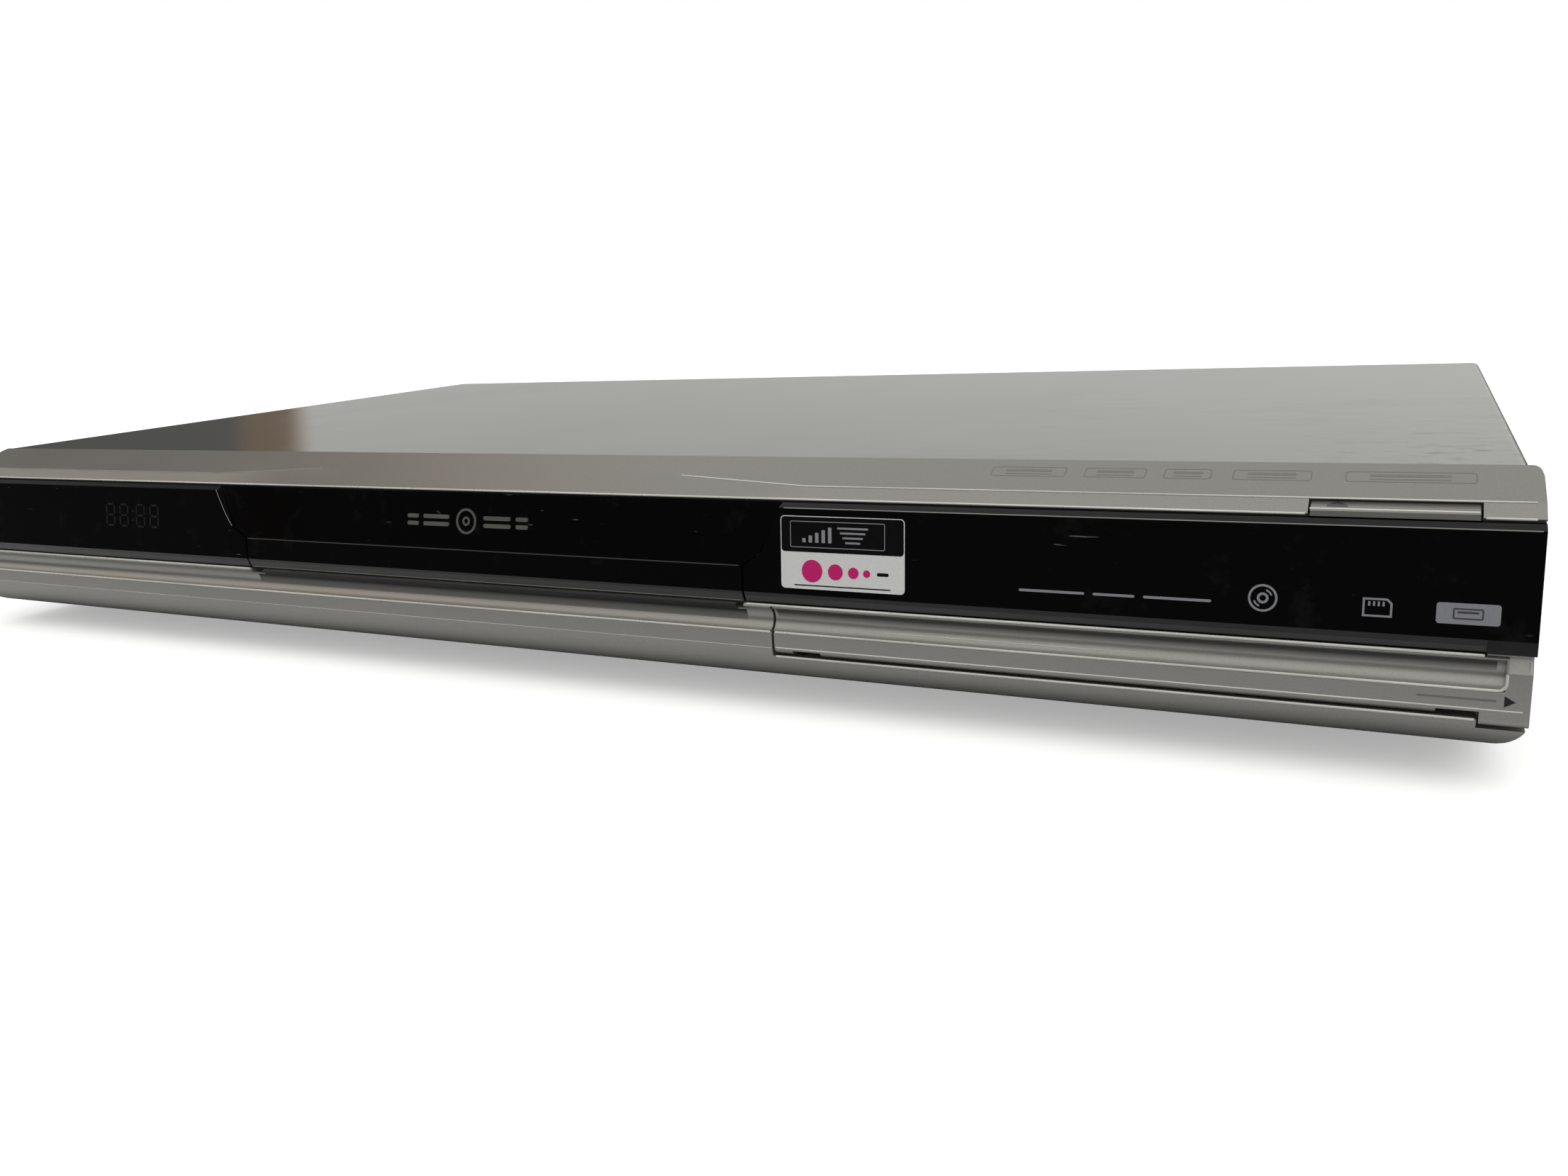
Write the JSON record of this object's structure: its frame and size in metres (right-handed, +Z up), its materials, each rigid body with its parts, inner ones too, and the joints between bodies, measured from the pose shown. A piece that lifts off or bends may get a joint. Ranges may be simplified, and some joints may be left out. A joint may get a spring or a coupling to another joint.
{
  "type": "blu-ray player",
  "caption": "Full-width silver and black disc player with a motor-driven tray, a drop-down flap over keys and card slots, rear sockets and a full inner drive mechanism.",
  "frame": {"origin": "under the middle of the whole player, on the surface it stands on", "axes": "+X to the right seen from the front, +Y to the rear, +Z up"},
  "size_m": [0.43, 0.247, 0.055],
  "materials": {
    "silver_plastic": "warm silver-grey painted ABS, fine satin",
    "gloss_black": "glossy black acrylic",
    "cover_paint": "silver-grey baked paint on steel, satin",
    "zinc_steel": "bare zinc-plated steel sheet",
    "panel_paint": "grey painted steel",
    "foot_rubber": "black rubber",
    "screw_steel": "plated steel",
    "key_plastic": "warm silver-grey painted ABS",
    "dark_plastic": "black moulded ABS",
    "tray_plastic": "dark grey moulded ABS",
    "gear_plastic": "natural white acetal",
    "belt_rubber": "black rubber",
    "motor_steel": "plated steel can",
    "green_board": "solder-masked glass-epoxy board",
    "brown_board": "phenolic paper board",
    "black_aluminium": "black anodised aluminium",
    "bare_aluminium": "extruded aluminium",
    "display_glass": "fluorescent display glass",
    "lens_glass": "coated glass lens",
    "plated_shell": "nickel-plated shell",
    "jack_metal": "nickel-plated barrels",
    "can_sleeve": "dark shrink sleeve",
    "core_ferrite": "ferrite core and taped winding"
  },
  "bodies": {
    "housing": {"front_fascia": "silver_plastic", "window_left": "gloss_black", "window_right": "gloss_black", "key_board": "green_board", "card_board": "green_board", "usb_port": "plated_shell", "sd_card_slot": "plated_shell", "front_board": "green_board", "display_module": "display_glass", "top_cover": "cover_paint", "chassis_base": "zinc_steel", "rubber_feet": "foot_rubber", "rear_panel": "panel_paint", "drive_frame": "dark_plastic", "loading_motor": "motor_steel", "drive_belt": "belt_rubber", "clamp_bridge": "zinc_steel", "main_board": "green_board", "main_heatsink": "black_aluminium", "psu_board": "brown_board", "psu_transformer": "core_ferrite", "psu_capacitors": "can_sleeve", "psu_heatsinks": "bare_aluminium", "fan_housing": "dark_plastic", "power_inlet": "dark_plastic", "hdmi_socket": "plated_shell", "lan_socket": "plated_shell", "optical_socket": "dark_plastic", "av_jack_block": "jack_metal"},
    "tray": {"tray_door": "gloss_black", "disc_tray": "tray_plastic"},
    "flap": {"flap_door": "silver_plastic", "flap_hinge_pins": "screw_steel"},
    "open_close_key": {"open_close_button": "key_plastic"},
    "power_key": {"power_button": "key_plastic"},
    "stop_key": {"stop_button": "dark_plastic"},
    "play_key": {"play_button": "dark_plastic"},
    "tray_gear_wheel": {"tray_gear": "gear_plastic"},
    "pulley_wheel": {"pulley_gear": "gear_plastic"},
    "motor_wheel": {"motor_pulley": "gear_plastic"},
    "cam_plate": {"cam_slider": "gear_plastic"},
    "traverse": {"traverse_frame": "zinc_steel", "spindle_motor": "motor_steel", "sled_guide_rods": "screw_steel", "sled_motor": "motor_steel"},
    "spinner": {"turntable": "dark_plastic"},
    "sled": {"pickup_sled": "dark_plastic", "pickup_lens": "lens_glass"},
    "screw": {"lead_screw": "screw_steel"},
    "clamp": {"disc_clamp": "gear_plastic"},
    "fan": {"fan_rotor": "dark_plastic"}
  },
  "joints": [
    {"name": "tray_slide", "type": "slide", "parent": "housing", "child": "tray", "axis": [0, -1, 0], "range_m": [0, 0.138]},
    {"name": "tray_gear_spin", "type": "hinge", "parent": "housing", "child": "tray_gear_wheel", "pos_m": [-0.0473, -0.09, 0.03], "axis": [0, 0, 1], "range_deg": [0, 792.68]},
    {"name": "pulley_spin", "type": "hinge", "parent": "housing", "child": "pulley_wheel", "pos_m": [-0.0303, -0.09, 0.026], "axis": [0, 0, 1], "range_deg": [-1131.55, 0]},
    {"name": "motor_spin", "type": "hinge", "parent": "housing", "child": "motor_wheel", "pos_m": [-0.0023, -0.09, 0.024], "axis": [0, 0, 1], "range_deg": [-3998.85, 0]},
    {"name": "flap_hinge", "type": "hinge", "parent": "housing", "child": "flap", "pos_m": [0, -0.1212, 0.016], "axis": [1, 0, 0], "range_deg": [0, 90]},
    {"name": "cam_slide", "type": "slide", "parent": "housing", "child": "cam_plate", "axis": [1, 0, 0], "range_m": [0, 0.026]},
    {"name": "traverse_tilt", "type": "hinge", "parent": "housing", "child": "traverse", "pos_m": [-0.0113, 0.038, 0.024], "axis": [-1, 0, 0], "range_deg": [0, 5.2]},
    {"name": "turntable_spin", "type": "hinge", "parent": "traverse", "child": "spinner", "pos_m": [-0.0113, -0.04855, 0.02616], "axis": [0, -0.0906, 0.9959], "continuous": true},
    {"name": "clamp_spin", "type": "hinge", "parent": "housing", "child": "clamp", "pos_m": [-0.0113, -0.048, 0.043], "axis": [0, 0, 1], "continuous": true},
    {"name": "sled_slide", "type": "slide", "parent": "traverse", "child": "sled", "axis": [0, 0.9959, 0.0906], "range_m": [0, 0.034]},
    {"name": "lead_screw_spin", "type": "hinge", "parent": "traverse", "child": "screw", "pos_m": [0.0227, -0.00239, 0.02645], "axis": [0, 0.9959, 0.0906], "range_deg": [0, 4082]},
    {"name": "fan_spin", "type": "hinge", "parent": "housing", "child": "fan", "pos_m": [0.118, 0.107, 0.0332], "axis": [0, 1, 0], "continuous": true},
    {"name": "open_close_press", "type": "slide", "parent": "housing", "child": "open_close_key", "axis": [0, 1, 0], "range_m": [0, 0.0008], "stiffness_N_per_m": 900},
    {"name": "power_press", "type": "slide", "parent": "housing", "child": "power_key", "axis": [0, 1, 0], "range_m": [0, 0.0008], "stiffness_N_per_m": 900},
    {"name": "stop_press", "type": "slide", "parent": "housing", "child": "stop_key", "axis": [0, 1, 0], "range_m": [0, 0.0006], "stiffness_N_per_m": 900},
    {"name": "play_press", "type": "slide", "parent": "housing", "child": "play_key", "axis": [0, 1, 0], "range_m": [0, 0.0006], "stiffness_N_per_m": 900}
  ],
  "couplings": [
    {"joint": "tray_gear_spin", "follows": "tray_slide", "rad_per_m": 100},
    {"joint": "pulley_spin", "follows": "tray_slide", "rad_per_m": -142.86},
    {"joint": "motor_spin", "follows": "tray_slide", "rad_per_m": -505.49},
    {"joint": "traverse_tilt", "follows": "cam_slide", "rad_per_m": 3.4907},
    {"joint": "clamp_spin", "follows": "turntable_spin", "ratio": 1},
    {"joint": "lead_screw_spin", "follows": "sled_slide", "rad_per_m": 2094.4}
  ]
}
